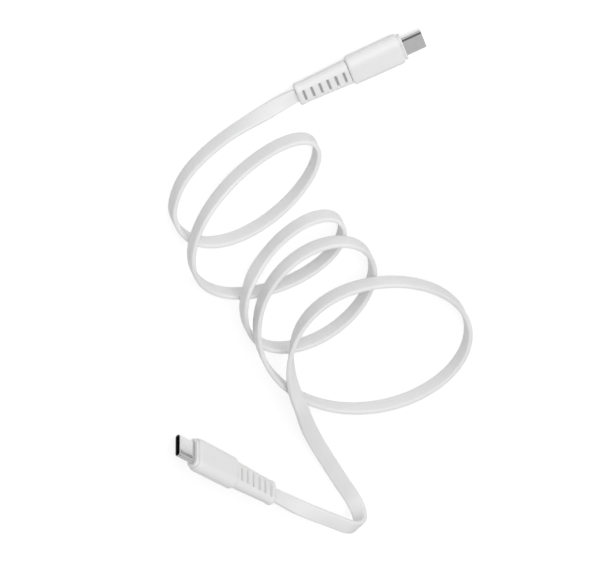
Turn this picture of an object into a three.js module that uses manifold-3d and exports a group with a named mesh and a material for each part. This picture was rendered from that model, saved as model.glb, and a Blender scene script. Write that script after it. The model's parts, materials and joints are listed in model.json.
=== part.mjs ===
// A charging cable: a white flat cable in four loose loops, with a small reversible plug at each end.
// Millimetres, +Z up. The cable lies on the plane z = 0. The origin is under the middle of the far plug's
// housing, and +X is the way that this plug goes into its socket.
import * as THREE from "three";
import { mergeVertices } from "three/addons/utils/BufferGeometryUtils.js";
import Module from "manifold-3d";

// ---- Driving dimensions -------------------------------------------------------------------------------

const FIT = 0.1; // clearance between pieces inside a plug
const SEAT = 0.3; // clearance between the larger mouldings

const SHELL = { width: 8.25, height: 2.4, wall: 0.25, exposed: 6.9, hidden: 6.0 };
const HOUSING = { width: 12, height: 6, length: 19.5 };
const HOUSING_REAR_SIZE = { width: 11.6, height: 6 };
const HOUSING_ROUND = { along: 1.2, across: 1.2, up: 0.6 }; // the rounding of the housing's rear edge
const HOUSING_BEVEL = { along: 1.7, across: 0.5, up: 0.5 }; // and of its front edge
const COLLAR = { width: 10.6, height: 4.7, length: 0.7, chamfer: 0.3 };
const GROOVE = { width: 10.0, height: 4.1, length: 0.5 }; // between the collar and the body of the housing
const RELIEF = { width: 9.8, height: 4.8, length: 18.5 };
const RELIEF_REAR_SIZE = { width: 8.5, height: 4.2 };
const RELIEF_ROUND = { along: 1.0, across: 0.75, up: 0.65 }; // the rounding of its free end
const FLARE = { by: 0.35, length: 1.6 }; // how much wider the free end is, and over what length
const SLOT = { count: 6, pitch: 2.85, first: 1.9, width: 0.8, across: 5.2, depth: 0.9 };

const CAVITY = { width: 6.8, height: 1.2 }; // the space that takes the socket's tongue
const INSULATOR = { back: 4.4, setBack: 0.15 }; // its solid back, and how far its front is inside the shell
const WINDOW = { length: 1.6, width: 5.6, fromFront: 1.0 };
const SPRING = { thickness: 0.12, finger: 0.45, fingers: 5, dip: 0.12 };
const CONTACT = { width: 0.25, thickness: 0.15, nose: 0.8, dip: 0.1, tail: 1.6, behindWindow: 1.25 };
const ROW = { pitch: 0.5, places: 12 }; // the standard's places for contacts, of which some are filled
const UPPER_CONTACTS = { ground_left: -5.5, power_left: -2.5, configuration: -1.5, data_plus: -0.5,
  data_minus: 0.5, power_right: 2.5, ground_right: 5.5 };
const LOWER_CONTACTS = { ground_left: -5.5, power_left: -2.5, power_right: 2.5, ground_right: 5.5 };
const LATCH = { thickness: 0.14, arm: 0.3, hook: 0.22, hookLength: 0.8, setBack: 1.3, yoke: 1.0 };

const BOARD = { toJacket: 2.1, width: 7.4, thickness: 0.6 }; // it ends that far before the cable's jacket
const MOULD = { toFerrule: 0.6, width: 10.2, height: 4.3, boreWidth: 7.8, boreHeight: 2.5 };
const FERRULE = { length: 3.0, wall: 0.35, inHousing: 0.6 };
const CORE = { diameter: 0.7, pitch: 0.8, padPitch: 1.3, onBoard: 2.2, rise: 0.85, straight: 0.3 };
const CORE_NAMES = ["power_core", "data_plus_core", "configuration_core", "data_minus_core", "ground_core"];

const CABLE = { width: 5.2, height: 1.6 }; // its section where it lies flat
const LIFT = CABLE.width / 2; // height of the middle of the cable where it stands on its edge

// The loops: each row is one half turn, with the middle of the loop there (x, y), its half length and
// its half width. The cable goes round them once in every two rows, standing on its edge.
const HALF_TURNS = [
  { x: -56, y: -28, length: 24.5, width: 23.5 },
  { x: -56.5, y: -28.3, length: 28, width: 19 },
  { x: -53.4, y: -50.7, length: 28.4, width: 18.4 },
  { x: -54.3, y: -63.3, length: 24, width: 19.2 },
  { x: -49.8, y: -84.8, length: 22.5, width: 18.2 },
  { x: -53, y: -86.3, length: 26.5, width: 23.2 },
  { x: -40.8, y: -104, length: 30.4, width: 30.5 },
  { x: -37.5, y: -124, length: 33, width: 37 },
  { x: -35.5, y: -142.5, length: 29, width: 49 },
];
const LOOP_TILT = 13; // degrees, the long axis of the loops from +X
const FIRST_ANGLE = -200; // degrees, where the first loop starts
const STEPS_PER_LOOP = 24;
const LOOP_SIDES = 6;

// Where the cable passes over itself: the angle along the loops, how far it clears its own width there,
// and the lengths of cable, in degrees of loop, that stay up and that climb.
const HUMPS = [
  { angle: 139, clear: 0.9, top: 12, ramp: 60 },
  { angle: 500, clear: 0.9, top: 6, ramp: 40 },
  { angle: 816, clear: 1.6, top: 68, ramp: 54 },
  { angle: 1188, clear: 1.8, top: 64, ramp: 56 },
];
const SWING = { x: -0.056, y: 1 }; // how far the cable moves over for each millimetre that it rises

// At the end of the loops the cable begins to lean over from its edge: degrees of loop, and of lean.
const LEAN = { from: 1175, to: 1255, degrees: 65 };

// The far plug lies flat. The near plug lies on its rounded side, turned about its own axis.
const FAR_PLUG = { at: [0, 0], heading: 0, roll: 0 };
const NEAR_PLUG = { at: [-100, -135.8], heading: 119.9, roll: 64 };

// From the far plug to the loops: the middle of the cable, and the way its width points.
const FAR_LEAD = [
  { at: [-33.3, -0.3, 2.95], across: [0, -0.94, 0.34] },
  { at: [-38.9, -1.3, 2.85], across: [0, -0.6, 0.8] },
  { at: [-46.0, -2.4, 2.77], across: [0, -0.2, 0.98] },
  { at: [-53.6, -3.9, 2.68], across: [0, 0, 1] },
  { at: [-62.1, -6.9, 2.63], across: [0, 0, 1] },
  { at: [-70.0, -11.3, 2.62], across: [0, 0, 1] },
  { at: [-75.7, -16.9, 2.6], across: [0, 0, 1] },
];
// From the loops to the fold: the cable comes down off the last crossing and turns from its edge to flat.
const NEAR_LEAD = [
  { at: [-66.3, -136.9, 6.6], across: [-0.97, 0, 0.25] },
  { at: [-65.8, -146.4, 4.5], across: [-1, 0, 0.08] },
  { at: [-64.7, -157.5, 2.6], across: [-1, 0, 0] },
  { at: [-63.6, -166.9, 1.45], across: [-1, 0, 0] },
  { at: [-62.5, -175.6, 0.97], across: [-1, 0, 0] },
];
// The fold: the flat cable turns up and back over itself round a level line, moving along it slowly.
const FOLD = { at: [-61.6, -181.3, 0.9], radius: 5.5, line: 205, drift: 0.32, steps: 6 };
// From the fold down to the near plug.
const RETURN = [
  { at: [-71.2, -178.8, 10.3], across: [-0.8, -0.6, 0] },
  { at: [-76.1, -173.9, 8.2], across: [-0.76, -0.58, 0.25] },
  { at: [-80.4, -168.9, 6.6], across: [-0.6, -0.4, 0.7] },
  { at: [-83.7, -164.1, 5.8], across: [-0.42, -0.24, 0.88] },
];
const LEAD_STEPS = 2; // steps of the solid between two points of a lead
const LEAD_SIDES = 8;

const LOFT_STEPS = 10; // steps of each round end of a moulding
const ROUND_STEPS = 3; // steps of a rounded edge
const PAST = 1; // how far a cut runs past what it cuts

// ---- Materials ----------------------------------------------------------------------------------------

const finish = (color, roughness, metalness = 0) =>
  new THREE.MeshStandardMaterial({ color, roughness, metalness });
const FINISH = {
  cable: finish(0xeff0f1, 0.55),
  housing: finish(0xf3f4f4, 0.42),
  relief: finish(0xf1f2f2, 0.5),
  shell: finish(0xb3b4b6, 0.34, 1),
  insulator: finish(0x17181a, 0.5),
  contact: finish(0xc9a35a, 0.3, 1),
  spring: finish(0xa6a7a9, 0.36, 1),
  board: finish(0x1f4a38, 0.5),
  mould: finish(0xd8d8d2, 0.6),
  ferrule: finish(0x9b9da0, 0.4, 1),
  power_core: finish(0xb3261e, 0.5),
  ground_core: finish(0x1c1c1e, 0.5),
  data_plus_core: finish(0x2b7a3d, 0.5),
  data_minus_core: finish(0xe6e6e2, 0.5),
  configuration_core: finish(0x2656a8, 0.5),
};

// ---- Solids -------------------------------------------------------------------------------------------

const wasm = await Module();
wasm.setup();

// A closed geometry as a manifold solid.
function solidOf(geometry) {
  const bare = geometry.clone();
  bare.deleteAttribute("normal");
  bare.deleteAttribute("uv");
  const merged = mergeVertices(bare, 1e-4);
  return new wasm.Manifold(new wasm.Mesh({
    numProp: 3,
    vertProperties: merged.attributes.position.array,
    triVerts: new Uint32Array(merged.index.array),
  }));
}

// A manifold solid as a geometry.
function geometryOf(solid) {
  const mesh = solid.getMesh();
  const made = new THREE.BufferGeometry();
  made.setAttribute("position", new THREE.BufferAttribute(new Float32Array(mesh.vertProperties), 3));
  made.setIndex(new THREE.BufferAttribute(mesh.triVerts, 1));
  made.computeVertexNormals();
  return made;
}

function meshOf(name, shape, material) {
  const mesh = new THREE.Mesh(shape.isBufferGeometry ? shape : geometryOf(shape), material);
  mesh.name = name;
  return mesh;
}

// The points of a flat-sided outline with full round ends, counter-clockwise, each end in steps.
function stadium({ width, height }, steps = 8) {
  const radius = height / 2;
  const middle = width / 2 - radius;
  const points = [];
  for (const side of [1, -1])
    for (let i = 0; i <= steps; i++) {
      const turn = (i / steps - 0.5) * Math.PI;
      const [x, y] = [middle + radius * Math.cos(turn), radius * Math.sin(turn)];
      points.push(new THREE.Vector2(side * x, side * y));
    }
  return points;
}

function rectangle({ width, height }, rise = 0) {
  const [w, h] = [width / 2, height / 2];
  return [[-w, -h], [w, -h], [w, h], [-w, h]].map(([y, z]) => new THREE.Vector2(y, z + rise));
}

// A section that is larger all round, or smaller where the value is negative.
const grown = ({ width, height }, by) => ({ width: width + 2 * by, height: height + 2 * by });

// Turns what is extruded along +Z into what runs along +X: the outline's x is y, and its y is z.
const ALONG_X = new THREE.Matrix4().makeBasis(
  new THREE.Vector3(0, 1, 0), new THREE.Vector3(0, 0, 1), new THREE.Vector3(1, 0, 0));

// An outline in the y-z plane, drawn out from x0 to x1.
function bar(outline, x0, x1) {
  const drawn = new THREE.ExtrudeGeometry(new THREE.Shape(outline), { depth: x1 - x0, bevelEnabled: false });
  return solidOf(drawn.applyMatrix4(ALONG_X).translate(x0, 0, 0));
}

// An outline in the x-y plane, drawn out from z0 to z1.
function plate(outline, z0, z1) {
  const drawn = new THREE.ExtrudeGeometry(new THREE.Shape(outline), { depth: z1 - z0, bevelEnabled: false });
  return solidOf(drawn.translate(0, 0, z0));
}

// An outline in the x-z plane, drawn out along y round y = middle.
function strip(outline, middle, width) {
  const shape = new THREE.Shape(outline.map(([x, z]) => new THREE.Vector2(x, z)));
  const drawn = new THREE.ExtrudeGeometry(shape, { depth: width, bevelEnabled: false });
  return solidOf(drawn.rotateX(Math.PI / 2).translate(0, middle + width / 2, 0));
}

// A closed skin through rings of points, each ring with as many points as the others.
function skin(rings) {
  const sides = rings[0].length;
  const positions = rings.flat().flatMap((p) => [p.x, p.y, p.z]);
  const index = [];
  for (let r = 0; r + 1 < rings.length; r++)
    for (let i = 0; i < sides; i++) {
      const [a, b] = [r * sides + i, r * sides + ((i + 1) % sides)];
      index.push(a, b, b + sides, a, b + sides, a + sides);
    }
  const last = (rings.length - 1) * sides;
  for (let i = 1; i + 1 < sides; i++) {
    index.push(0, i + 1, i);
    index.push(last, last + i, last + i + 1);
  }
  const made = new THREE.BufferGeometry();
  made.setAttribute("position", new THREE.Float32BufferAttribute(positions, 3));
  made.setIndex(index);
  made.computeVertexNormals();
  return made;
}

// A lofted body along x from sections { x, width, height }.
function loft(sections) {
  return skin(sections.map(({ x, ...size }) =>
    stadium(size, LOFT_STEPS).map((p) => new THREE.Vector3(x, p.x, p.y))));
}

// The sections of an edge that is rounded off towards an end: way is 1 where the body lies ahead of it.
function rounded(end, way, { width, height }, { along, across, up }) {
  return Array.from({ length: ROUND_STEPS + 1 }, (_, i) => {
    const turn = (i / ROUND_STEPS) * (Math.PI / 2);
    const inset = 2 * (1 - Math.sin(turn));
    const x = end + way * along * (1 - Math.cos(turn));
    return { x, width: width - across * inset, height: height - up * inset };
  });
}

// ---- Plug, in its own frame: +X out of the mouth, z across its thickness, origin amid the housing -----

const HOUSING_FRONT = HOUSING.length / 2;
const HOUSING_REAR = -HOUSING.length / 2;
const MOUTH = HOUSING_FRONT + SHELL.exposed;
const SHELL_REAR = HOUSING_FRONT - SHELL.hidden;
const LINING_FRONT = MOUTH - INSULATOR.setBack;
const BLOCK_REAR = SHELL_REAR + FIT;
const BLOCK_FRONT = BLOCK_REAR + INSULATOR.back;
const WINDOW_FRONT = LINING_FRONT - WINDOW.fromFront;
const WINDOW_REAR = WINDOW_FRONT - WINDOW.length;
const BORE = grown(SHELL, -SHELL.wall); // of the shell
const CONTACT_HEIGHT = BOARD.thickness / 2 + FIT + CONTACT.thickness / 2; // of the middle of a contact
const RELIEF_FRONT = HOUSING_REAR - SEAT / 2;
const RELIEF_REAR = RELIEF_FRONT - RELIEF.length;
const FERRULE_FRONT = HOUSING_REAR + FERRULE.inHousing;
const FERRULE_REAR = FERRULE_FRONT - FERRULE.length;
const FERRULE_SIZE = grown(CABLE, FIT + FERRULE.wall);
const JACKET_FRONT = FERRULE_FRONT + FIT;
const BOARD_FRONT = SHELL_REAR - FIT;
const BOARD_REAR = JACKET_FRONT + BOARD.toJacket;
const MOULD_FRONT = SHELL_REAR - FIT;
const MOULD_REAR = FERRULE_FRONT + MOULD.toFerrule;

function shell() {
  return bar(stadium(SHELL), SHELL_REAR, MOUTH).subtract(bar(stadium(BORE), SHELL_REAR - PAST, MOUTH + PAST));
}

// The insulator: a solid back with slits for both rows of contacts and the latch, and a lining of the
// mouth with a window above and below for the ground springs.
function insulator() {
  const outside = grown(BORE, -FIT);
  const rowSlit = { width: ROW.pitch * ROW.places, height: CONTACT.thickness + 2 * FIT };
  const latchSlit = { width: CAVITY.width, height: LATCH.thickness + 2 * FIT };
  const window = { width: WINDOW.width, height: outside.height + 2 * PAST };
  return bar(stadium(outside), BLOCK_REAR, LINING_FRONT)
    .subtract(bar(rectangle(CAVITY), BLOCK_FRONT, LINING_FRONT + PAST))
    .subtract(bar(rectangle(rowSlit, CONTACT_HEIGHT), BLOCK_REAR - PAST, BLOCK_FRONT + PAST))
    .subtract(bar(rectangle(rowSlit, -CONTACT_HEIGHT), BLOCK_REAR - PAST, BLOCK_FRONT + PAST))
    .subtract(bar(rectangle(latchSlit), BLOCK_FRONT - LATCH.yoke - FIT, BLOCK_FRONT + PAST))
    .subtract(bar(rectangle(window), WINDOW_REAR, WINDOW_FRONT));
}

// One contact: a flat strip from its tail on the board to its nose, which dips towards the tongue.
function contact(row, place) {
  const [low, high] = [CONTACT_HEIGHT - CONTACT.thickness / 2, CONTACT_HEIGHT + CONTACT.thickness / 2];
  const tail = BOARD_FRONT - CONTACT.tail;
  const tip = WINDOW_REAR - CONTACT.behindWindow;
  const bend = tip - CONTACT.nose;
  const outline = [
    [tail, low], [bend, low], [bend + CONTACT.nose / 2, low - CONTACT.dip], [tip, low],
    [tip, high], [bend + CONTACT.nose / 2, high - CONTACT.dip], [bend, high], [tail, high],
  ];
  const side = row === "upper" ? 1 : -1;
  const turned = outline.map(([x, z]) => [x, side * z]);
  if (side < 0) turned.reverse();
  return strip(turned, place * ROW.pitch, CONTACT.width);
}

// The latch: a yoke in the insulator's back with an arm along each side of the mouth, hooked inwards.
function latch() {
  const outer = CAVITY.width / 2 - FIT;
  const inner = outer - LATCH.arm;
  const rear = BLOCK_FRONT - LATCH.yoke;
  const tip = MOUTH - LATCH.setBack;
  const half = [
    [BLOCK_FRONT - FIT, inner], [tip - LATCH.hookLength, inner],
    [tip - LATCH.hookLength / 2, inner - LATCH.hook], [tip, inner], [tip, outer], [rear, outer], [rear, 0],
  ];
  const mirrored = half.map(([x, y]) => [x, -y]).reverse();
  const points = [...half, ...mirrored].map(([x, y]) => new THREE.Vector2(x, y));
  return plate(points, -LATCH.thickness / 2, LATCH.thickness / 2);
}

// A ground spring in its window: a thin frame across the mouth with fingers that dip into it.
function groundSpring(row) {
  const side = row === "upper" ? 1 : -1;
  const front = WINDOW_FRONT - FIT;
  const rear = WINDOW_REAR + FIT;
  const width = WINDOW.width - 2 * FIT;
  const top = BORE.height / 2 - FIT;
  const under = top - SPRING.thickness;
  const box = (x0, x1, y0, y1, z0, z1) => {
    const at = new THREE.BoxGeometry(x1 - x0, y1 - y0, z1 - z0);
    return solidOf(at.translate((x0 + x1) / 2, (y0 + y1) / 2, (side * (z0 + z1)) / 2));
  };
  let made = box(rear, rear + SPRING.finger, -width / 2, width / 2, under, top);
  const pitch = width / SPRING.fingers;
  for (let i = 0; i < SPRING.fingers; i++) {
    const middle = (i + 0.5) * pitch - width / 2;
    const [y0, y1] = [middle - SPRING.finger / 2, middle + SPRING.finger / 2];
    made = made.add(box(rear + SPRING.finger / 2, front, y0, y1, under, top));
    made = made.add(box(front - SPRING.finger, front, y0, y1, under - SPRING.dip, top));
  }
  return made;
}

function board() {
  return bar(rectangle({ width: BOARD.width, height: BOARD.thickness }), BOARD_REAR, BOARD_FRONT);
}

// The hard inner mould: a sleeve round the board, open at both ends.
function innerMould() {
  const bore = { width: MOULD.boreWidth, height: MOULD.boreHeight };
  return bar(stadium(MOULD), MOULD_REAR, MOULD_FRONT)
    .subtract(bar(rectangle(bore), MOULD_REAR - PAST, MOULD_FRONT + PAST));
}

function ferrule() {
  return bar(stadium(FERRULE_SIZE), FERRULE_REAR, FERRULE_FRONT)
    .subtract(bar(stadium(grown(CABLE, FIT)), FERRULE_REAR - PAST, FERRULE_FRONT + PAST));
}

// The end of the cable inside the strain relief, from the ferrule to where the free cable begins.
function cableEnd() {
  return bar(stadium(CABLE), RELIEF_REAR, JACKET_FRONT);
}

// One core of the cable, from the end of the jacket up onto its pad on the board.
function core(index) {
  const middle = (CORE_NAMES.length - 1) / 2;
  const [fromY, toY] = [(index - middle) * CORE.pitch, (index - middle) * CORE.padPitch];
  const onBoard = BOARD.thickness / 2 + FIT + CORE.diameter / 2;
  const start = JACKET_FRONT + FIT;
  const path = new THREE.CatmullRomCurve3([
    new THREE.Vector3(start, fromY, 0),
    new THREE.Vector3(start + CORE.straight, fromY, 0),
    new THREE.Vector3((start + BOARD_REAR) / 2, (fromY + toY) / 2, CORE.rise),
    new THREE.Vector3(BOARD_REAR + CORE.straight, toY, CORE.rise),
    new THREE.Vector3(BOARD_REAR + CORE.onBoard / 2, toY, onBoard),
    new THREE.Vector3(BOARD_REAR + CORE.onBoard, toY, onBoard),
  ]);
  const ring = new THREE.Shape().absarc(0, 0, CORE.diameter / 2, 0, 2 * Math.PI);
  return solidOf(new THREE.ExtrudeGeometry(ring, { extrudePath: path, steps: 8, curveSegments: 4 }));
}

// The housing: a body with full round sides, a shoulder at its rear and a stepped collar at its front.
function housing() {
  const collarRear = HOUSING_FRONT - COLLAR.length;
  const bodyFront = collarRear - GROOVE.length;
  const sections = [
    ...rounded(HOUSING_REAR, 1, HOUSING_REAR_SIZE, HOUSING_ROUND),
    ...rounded(bodyFront, -1, HOUSING, HOUSING_BEVEL).reverse(),
    { ...GROOVE, x: bodyFront },
    { ...GROOVE, x: collarRear },
    { ...COLLAR, x: collarRear },
    { ...COLLAR, x: HOUSING_FRONT - COLLAR.chamfer },
    { ...grown(COLLAR, -COLLAR.chamfer), x: HOUSING_FRONT },
  ];
  return solidOf(loft(sections))
    .subtract(bar(stadium(grown(SHELL, FIT)), SHELL_REAR - PAST, MOUTH))
    .subtract(bar(stadium(grown(MOULD, FIT)), MOULD_REAR - FIT, MOULD_FRONT + FIT))
    .subtract(bar(stadium(grown(FERRULE_SIZE, FIT)), HOUSING_REAR - PAST, MOULD_REAR));
}

// The strain relief: a tapered sleeve with a row of slots in each broad face and a round flared end.
function strainRelief() {
  const flared = RELIEF_REAR + RELIEF_ROUND.along;
  let made = solidOf(loft([
    ...rounded(RELIEF_REAR, 1, grown(RELIEF_REAR_SIZE, FLARE.by / 2), RELIEF_ROUND),
    { ...RELIEF_REAR_SIZE, x: flared + FLARE.length },
    { ...RELIEF, x: RELIEF_FRONT },
  ]));
  made = made.subtract(bar(stadium(grown(CABLE, FIT)), RELIEF_REAR - PAST, RELIEF_FRONT + PAST));
  made = made.subtract(bar(stadium(grown(FERRULE_SIZE, FIT)), FERRULE_REAR - FIT, RELIEF_FRONT + PAST));
  for (let i = 0; i < SLOT.count; i++) {
    const x = RELIEF_FRONT - SLOT.first - i * SLOT.pitch;
    const back = (RELIEF_FRONT - x) / RELIEF.length;
    const top = THREE.MathUtils.lerp(RELIEF.height, RELIEF_REAR_SIZE.height, back) / 2;
    const outline = stadium({ width: SLOT.across, height: SLOT.width }, 4)
      .map((p) => new THREE.Vector2(x + p.y, -p.x));
    made = made.subtract(plate(outline, top - SLOT.depth, top + PAST));
    made = made.subtract(plate(outline, -top - PAST, SLOT.depth - top));
  }
  return made;
}

// A whole plug, named for its end of the cable, as a group in the plug's own frame.
function plug(end) {
  const group = new THREE.Group();
  const put = (name, shape, material) => group.add(meshOf(`${end}_${name}`, shape, material));
  put("plug_shell", shell(), FINISH.shell);
  put("contact_insulator", insulator(), FINISH.insulator);
  for (const [name, place] of Object.entries(UPPER_CONTACTS))
    put(`upper_contact_${name}`, contact("upper", place), FINISH.contact);
  for (const [name, place] of Object.entries(LOWER_CONTACTS))
    put(`lower_contact_${name}`, contact("lower", place), FINISH.contact);
  put("side_latch", latch(), FINISH.spring);
  put("upper_ground_spring", groundSpring("upper"), FINISH.spring);
  put("lower_ground_spring", groundSpring("lower"), FINISH.spring);
  put("circuit_board", board(), FINISH.board);
  put("inner_mould", innerMould(), FINISH.mould);
  put("crimp_ferrule", ferrule(), FINISH.ferrule);
  put("cable_end", cableEnd(), FINISH.cable);
  CORE_NAMES.forEach((name, index) => put(name, core(index), FINISH[name]));
  put("housing", housing(), FINISH.housing);
  put("strain_relief", strainRelief(), FINISH.relief);
  return group;
}

// Lays a plug on the plane: heading and roll in degrees, its axis as high as its housing needs.
function lay(group, { at, heading, roll }) {
  const turn = THREE.MathUtils.degToRad(roll);
  const radius = HOUSING.height / 2;
  const height = radius + (HOUSING.width / 2 - radius) * Math.abs(Math.sin(turn));
  group.rotation.set(turn, 0, THREE.MathUtils.degToRad(heading), "ZYX");
  group.position.set(at[0], at[1], height);
  group.updateMatrixWorld(true);
  return group;
}

// ---- Cable --------------------------------------------------------------------------------------------

// A Catmull-Rom value through evenly spaced values, at u from 0 to one less than their number.
function along(values, u) {
  const last = values.length - 1;
  const i = Math.min(Math.floor(u), last - 1);
  const f = u - i;
  const b = values[i];
  const c = values[i + 1];
  const a = i > 0 ? values[i - 1] : 2 * b - c;
  const d = i + 2 <= last ? values[i + 2] : 2 * c - b;
  const [square, cube] = [2 * a - 5 * b + 4 * c - d, 3 * b - a - 3 * c + d];
  return 0.5 * (2 * b + (c - a) * f + square * f ** 2 + cube * f ** 3);
}

// How far the cable rises off the plane, at an angle along the loops.
function loopRise(angle) {
  let rise = 0;
  for (const hump of HUMPS) {
    const off = Math.abs(angle - hump.angle) - hump.top;
    rise = Math.max(rise, (CABLE.width + hump.clear) * THREE.MathUtils.smoothstep(-off, -hump.ramp, 0));
  }
  return rise;
}

// The middle of the cable at an angle along the loops. Where it rises, it also moves over by its swing.
function loopPoint(angle) {
  const u = (angle - FIRST_ANGLE) / 180;
  const at = (key) => along(HALF_TURNS.map((row) => row[key]), u);
  const tilt = THREE.MathUtils.degToRad(LOOP_TILT);
  const turn = THREE.MathUtils.degToRad(angle);
  const [l, w] = [at("length") * Math.cos(turn), at("width") * Math.sin(turn)];
  const rise = loopRise(angle);
  return new THREE.Vector3(
    at("x") + l * Math.cos(tilt) - w * Math.sin(tilt) + SWING.x * rise,
    at("y") + l * Math.sin(tilt) + w * Math.cos(tilt) + SWING.y * rise,
    LIFT + rise);
}

function loopPoints() {
  const loops = (HALF_TURNS.length - 1) / 2;
  const count = loops * STEPS_PER_LOOP;
  return Array.from({ length: count + 1 }, (_, i) => {
    const angle = FIRST_ANGLE + (i * 360) / STEPS_PER_LOOP;
    const leant = THREE.MathUtils.smoothstep(angle, LEAN.from, LEAN.to);
    const lean = THREE.MathUtils.degToRad(LEAN.degrees * leant);
    return { at: loopPoint(angle), across: new THREE.Vector3(-Math.sin(lean), 0, Math.cos(lean)) };
  });
}

const pointOf = ({ at, across }) => ({ at: new THREE.Vector3(...at), across: new THREE.Vector3(...across) });

// The fold, as points of a half turn of a slow helix round its level line.
function foldPoints() {
  const line = THREE.MathUtils.degToRad(FOLD.line);
  const axis = new THREE.Vector3(Math.cos(line), Math.sin(line), 0);
  const out = new THREE.Vector3(-Math.sin(line), Math.cos(line), 0);
  const start = new THREE.Vector3(...FOLD.at);
  return Array.from({ length: FOLD.steps + 1 }, (_, i) => {
    const turn = (i / FOLD.steps) * Math.PI;
    const at = start.clone()
      .addScaledVector(out, FOLD.radius * Math.sin(turn))
      .addScaledVector(axis, FOLD.radius * turn * FOLD.drift)
      .add(new THREE.Vector3(0, 0, FOLD.radius * (1 - Math.cos(turn))));
    return { at, across: axis.clone() };
  });
}

// Where the cable leaves a plug, at the end of the strain relief, and the way its width points: side is
// 1 or -1, and says which way the cable turns as it goes from lying flat to standing on its edge.
function exitOf(group, side) {
  return {
    at: group.localToWorld(new THREE.Vector3(RELIEF_REAR, 0, 0)),
    across: new THREE.Vector3(0, side, 0).transformDirection(group.matrixWorld),
  };
}

// Rings of the cable's section, square to the run of the points. The first and last points only steer
// the ends.
function rings(points, sides) {
  const section = stadium(CABLE, sides / 2 - 1);
  return points.slice(1, -1).map(({ at, across }, i) => {
    const run = points[i + 2].at.clone().sub(points[i].at).normalize();
    const thick = run.clone().cross(across).normalize();
    const wide = thick.clone().cross(run);
    return section.map((p) => at.clone().addScaledVector(wide, p.x).addScaledVector(thick, p.y));
  });
}

// Points between the chosen ones, on one smooth curve, from one index to another.
function smooth(points, from, to, steps) {
  const at = new THREE.CatmullRomCurve3(points.map((p) => p.at), false, "centripetal");
  const across = new THREE.CatmullRomCurve3(points.map((p) => p.across), false, "catmullrom");
  const last = points.length - 1;
  const count = (to - from) * steps;
  return Array.from({ length: count + 1 }, (_, i) => {
    const t = (from + i / steps) / last;
    return { at: at.getPoint(t), across: across.getPoint(t) };
  });
}

// Draws the ends of a stretch back by the clearance, so that it meets its neighbours face to face.
function drawnBack(points, atStart, atEnd) {
  const pull = (end, next, gap) => {
    const way = next.at.clone().sub(end.at).normalize();
    return { at: end.at.clone().addScaledVector(way, gap), across: end.across };
  };
  const made = [...points];
  made[0] = pull(points[0], points[1], atStart);
  made[made.length - 1] = pull(points.at(-1), points.at(-2), atEnd);
  return made;
}

// Points that run one step past both ends in a straight line, to steer the end rings.
function steered(points, before, after) {
  const beyond = (end, next) => ({ at: end.at.clone().multiplyScalar(2).sub(next.at), across: end.across });
  return [before ?? beyond(points[0], points[1]), ...points, after ?? beyond(points.at(-1), points.at(-2))];
}

// The least gap of the loops to themselves, measured on points of the cable's surface.
function leastGap(points) {
  const shell = rings(steered(smooth(points, 0, points.length - 1, 4)), 8);
  const middles = shell.map((ring) => ring.reduce((sum, p) => sum.add(p), new THREE.Vector3())
    .divideScalar(ring.length));
  const apart = STEPS_PER_LOOP; // a quarter of a loop, in the four steps between two points
  let least = Infinity;
  for (let i = 0; i < shell.length; i++)
    for (let j = i + apart; j < shell.length; j++) {
      if (middles[i].distanceTo(middles[j]) > 2 * CABLE.width) continue;
      for (const p of shell[i]) for (const q of shell[j]) least = Math.min(least, p.distanceTo(q));
    }
  return least;
}

// ---- Assembly -----------------------------------------------------------------------------------------

const cable = new THREE.Group();
const farPlug = lay(plug("far"), FAR_PLUG);
const nearPlug = lay(plug("near"), NEAR_PLUG);

const loops = loopPoints();
const farPoints = [exitOf(farPlug, -1), ...FAR_LEAD.map(pointOf), ...loops.slice(0, 3)];
const farCount = FAR_LEAD.length + 1;
const farLead = smooth(farPoints, 0, farCount, LEAD_STEPS);
const nearPoints = [...loops.slice(-3), ...NEAR_LEAD.map(pointOf), ...foldPoints(), ...RETURN.map(pointOf),
  exitOf(nearPlug, 1)];
const nearLead = smooth(nearPoints, 2, nearPoints.length - 1, LEAD_STEPS);

const loopEnds = drawnBack(loops, SEAT / 2, SEAT / 2);
const loopRings = rings(steered(loopEnds, farLead.at(-2), nearLead[1]), LOOP_SIDES);
const farRings = rings(steered(drawnBack(farLead, SEAT, SEAT / 2), null, loops[1]), LEAD_SIDES);
const nearRings = rings(steered(drawnBack(nearLead, SEAT / 2, SEAT), loops.at(-2), null), LEAD_SIDES);

cable.add(farPlug, nearPlug);
cable.add(meshOf("far_cable_lead", skin(farRings), FINISH.cable));
cable.add(meshOf("cable_loops", skin(loopRings), FINISH.cable));
cable.add(meshOf("near_cable_lead", skin(nearRings), FINISH.cable));

const length = (points) => points.slice(1).reduce((sum, p, i) => sum + p.at.distanceTo(points[i].at), 0);
console.log(`least gap of the loops to themselves: ${leastGap(loops).toFixed(2)} mm`);
console.log(`cable: ${(length(farLead) + length(loops) + length(nearLead)).toFixed(0)} mm from plug to plug`);

export default cable;
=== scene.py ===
"""A white flat charging cable with a small reversible plug at each end, dressed for rendering.

Everything is in metres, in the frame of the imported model: +X is the way the far plug goes into its
socket, and +Z is up from the plane that the cable lies on. Sizes are written in millimetres and turned
into metres with MM. A plug's own frame has +X out of its mouth and Z across its thickness, with the
origin in the middle of its housing.
"""

import json
import logging
import math
from dataclasses import dataclass, field, fields, replace
from enum import Enum
from typing import Iterable, Sequence

import bpy
from mathutils import Matrix, Vector

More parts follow.
